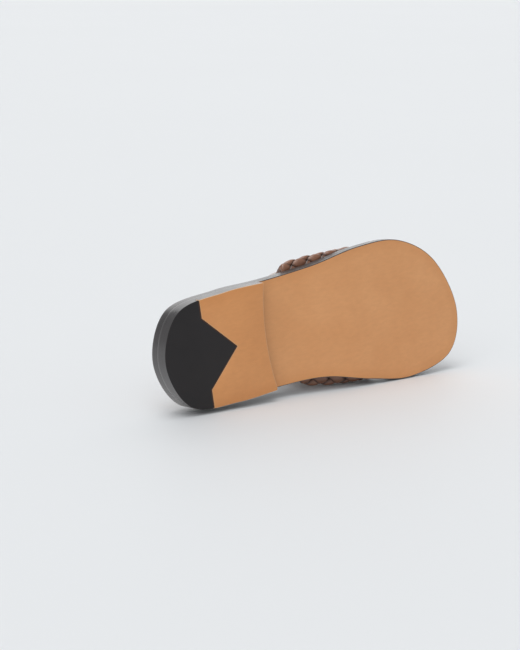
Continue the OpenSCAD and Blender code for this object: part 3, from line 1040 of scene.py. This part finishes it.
def strap_inside():
    """Padding, edge tapes and lining, under the weave."""
    pad = layer("strap_felt_pad", felt(), PAD_V, between(0.0, PAD_SINK), between(PAD_SHARE))
    place(pad, "foam", "strap_padding")
    stay = tape()
    for edge, v_ends in (("rear", REAR_TAPE_V), ("front", FRONT_TAPE_V)):
        piece = layer(edge + "_edge_tape", stay, v_ends, between(TAPE_SHARE),
                      between(LINING_SHARE), rows=TAPE_ROWS)
        place(piece, "stay_tape", edge + "_edge_stay")
    lining = layer("strap_lining_leather", lining_leather(), LINING_V, between(LINING_SHARE),
                   between(LINING_FACE))
    place(lining, "lining_leather", "strap_lining")


STITCH_PITCH, STITCH_LENGTH, STITCH_R = 3.2, 2.3, 0.32
STITCH_RINGS, STITCH_SIDES = 7, 8
STITCH_ROWS, STITCH_END_U = (0.085, 0.915), 0.93
STITCH_HEIGHT, STITCH_BITE = 0.55, 0.85    # how far its middle stands out, and its ends sink in
STITCH_THIN = 0.45                         # of its radius, at its ends


def stitches():
    """Two rows of saddle stitches that hold the lining's edges."""
    a = np.linspace(0, 2 * np.pi, STITCH_SIDES, endpoint=False)
    sag = np.sin(np.linspace(0, np.pi, STITCH_RINGS)) ** 0.5
    thick = STITCH_R * blend(STITCH_THIN, 1, sag)
    points, faces, start = [], [], 0
    for v in STITCH_ROWS:
        u = np.linspace(-STITCH_END_U, STITCH_END_U, 1200)
        line = look_up(INNER, v + 0 * u, u)
        into = unit(line - look_up(OUTER, v + 0 * u, u))
        line = line + into * STITCH_R
        along = lengths_along(line)
        for s in np.arange(1, along[-1] - STITCH_PITCH, STITCH_PITCH):
            k = np.linspace(s, s + STITCH_LENGTH, STITCH_RINGS)
            p = np.stack([np.interp(k, along, line[:, i]) for i in range(3)], 1)
            d = np.stack([np.interp(k, along, into[:, i]) for i in range(3)], 1)
            p = p + d * ((sag - STITCH_BITE) * STITCH_HEIGHT)[:, None]
            side = unit(np.cross(unit(np.gradient(p, axis=0)), d))
            ring = (np.cos(a)[None, :, None] * side[:, None]
                    + np.sin(a)[None, :, None] * d[:, None])
            points.append((p[:, None] + thick[:, None, None] * ring).reshape(-1, 3))
            faces += grid_faces(STITCH_RINGS, STITCH_SIDES, closed_cols=True, start=start)
            faces += closed_ends(start, STITCH_RINGS, STITCH_SIDES)
            start += STITCH_RINGS * STITCH_SIDES
    piece = make_piece("lining_stitches", np.vstack(points), faces, [thread()], sharp=60)
    place(piece, "stay_tape")


# ---- what stays hidden inside
def dress_inner_parts():
    """Better materials for the CAD parts that keep their shape."""
    steel = metal("spring_steel", (0.42, 0.43, 0.44), 0.32)
    finishes = {"heel_nails": metal("bright_nail_wire", (0.5, 0.5, 0.5), 0.28), "shank": steel,
                "shank_rivets": metal("brassed_rivet", (0.62, 0.47, 0.22), 0.3),
                "bottom_filler": cork(), "insole_board": fibre_board()}
    for node, material in finishes.items():
        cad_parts[node].data.materials.clear()
        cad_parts[node].data.materials.append(material)


# ---- stage, light and camera
# The sandal lies on its big toe side: this direction is up from the floor it lies on.
FLOOR_UP = Vector((0.0955, -0.9906, -0.0979)).normalized()
LOOK = Vector((0.54531, 0.18968, 0.81649)).normalized()
TARGET = Vector((-0.0347, -0.0098, 0.0290))
DISTANCE = 1.38
LENS, SENSOR = 99.31, 36
LAMP_DISTANCE = 3
FLOOR_SIZE = 40            # metres
GROUND_DROP = 0.0002       # keeps the ground clear of the heel's flat face
PALE_FLOOR = (0.80, 0.815, 0.83)
SKY, SKY_STRENGTH = (0.955, 0.98, 1.0, 1), 0.38


def lowest_along(direction):
    """How far the lowest point of the sandal lies along a direction, in metres."""
    graph = bpy.context.evaluated_depsgraph_get()
    lowest = []
    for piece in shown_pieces():
        mesh = piece.evaluated_get(graph).data
        co = np.empty(len(mesh.vertices) * 3, np.float32)
        mesh.vertices.foreach_get("co", co)
        lowest.append(float((co.reshape(-1, 3) @ np.array(direction)).min()))
    return min(lowest)


def one_sided(name, colour, roughness):
    """A plain floor finish that is seen only from its upper side."""
    n = Nodes(name)
    darker = tuple(0.985 * c for c in colour)
    n.finish(n.mix(n.noise(600, 2), colour, darker), roughness, Specular_IOR_Level=0.25)
    clear = n.add("ShaderNodeBsdfTransparent")
    side = n.add("ShaderNodeNewGeometry")
    mix = n.add("ShaderNodeMixShader")
    n.link(side.outputs["Backfacing"], mix.inputs[0])
    n.link(n.shader.outputs["BSDF"], mix.inputs[1])
    n.link(clear.outputs["BSDF"], mix.inputs[2])
    out = next(x for x in n.tree.nodes if x.type == "OUTPUT_MATERIAL")
    n.link(mix.outputs["Shader"], out.inputs["Surface"])
    return n.material


def floor_plane(name, up, point, material):
    mesh = bpy.data.meshes.new(name)
    s = FLOOR_SIZE / 2
    mesh.from_pydata([(-s, -s, 0), (s, -s, 0), (s, s, 0), (-s, s, 0)], [], [(0, 1, 2, 3)])
    mesh.materials.append(material)
    plane = bpy.data.objects.new(name, mesh)
    bpy.context.scene.collection.objects.link(plane)
    plane.matrix_world = Matrix.Translation(point) @ up.to_track_quat("Z", "Y").to_matrix().to_4x4()
    plane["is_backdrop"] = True
    return plane


def aim(thing, place_at, look_at, up):
    """Puts a lamp or camera at a place, turned to look at a point."""
    forward = (look_at - place_at).normalized()
    right = forward.cross(up).normalized()
    above_it = right.cross(forward)
    turn = Matrix((right, above_it, -forward)).transposed().to_4x4()
    thing.matrix_world = Matrix.Translation(place_at) @ turn


def soft_sun(name, source, strength, spread):
    """A broad, far light. source is the way to it, as (right, up, towards the camera)."""
    right = LOOK.cross(FLOOR_UP).normalized()
    near = right.cross(FLOOR_UP).normalized()
    way = (right * source[0] + FLOOR_UP * source[1] + near * source[2]).normalized()
    lamp = bpy.data.lights.new(name, "SUN")
    lamp.energy = strength
    lamp.angle = math.radians(spread)
    holder = bpy.data.objects.new(name, lamp)
    bpy.context.scene.collection.objects.link(holder)
    aim(holder, TARGET + way * LAMP_DISTANCE, TARGET, LOOK)


def stage():
    """The floor that the sandal lies on, the ground for views of it upright, lights and camera."""
    world = bpy.data.worlds.new("studio")
    bpy.context.scene.world = world
    world.use_nodes = True
    background = world.node_tree.nodes["Background"]
    background.inputs["Color"].default_value = SKY
    background.inputs["Strength"].default_value = SKY_STRENGTH
    floor_plane("studio_floor", FLOOR_UP, FLOOR_UP * lowest_along(FLOOR_UP),
                one_sided("pale_floor", PALE_FLOOR, 0.6))
    ground = floor_plane("standing_floor", Vector((0, 0, 1)), Vector((0, 0, -GROUND_DROP)),
                         one_sided("pale_ground", PALE_FLOOR, 0.6))
    for ray in ("visible_diffuse", "visible_glossy", "visible_transmission", "visible_shadow"):
        setattr(ground, ray, False)
    soft_sun("front_softbox", (-0.25, 1.0, 0.9), 1.0, 60)
    soft_sun("overhead_softbox", (-0.15, 1.0, 0.1), 0.85, 40)
    soft_sun("rear_softbox", (0.15, 0.45, -1.0), 0.95, 75)
    bpy.context.scene.view_settings.view_transform = "Standard"
    camera = bpy.data.objects.new("camera", bpy.data.cameras.new("camera"))
    camera.data.lens = LENS
    camera.data.sensor_width = SENSOR
    bpy.context.scene.collection.objects.link(camera)
    aim(camera, TARGET - LOOK * DISTANCE, TARGET, FLOOR_UP)
    bpy.context.scene.camera = camera


outsole()
midsole()
heel()
footbed()
footbed_foam()
weave()
strap_inside()
stitches()
dress_inner_parts()
stage()
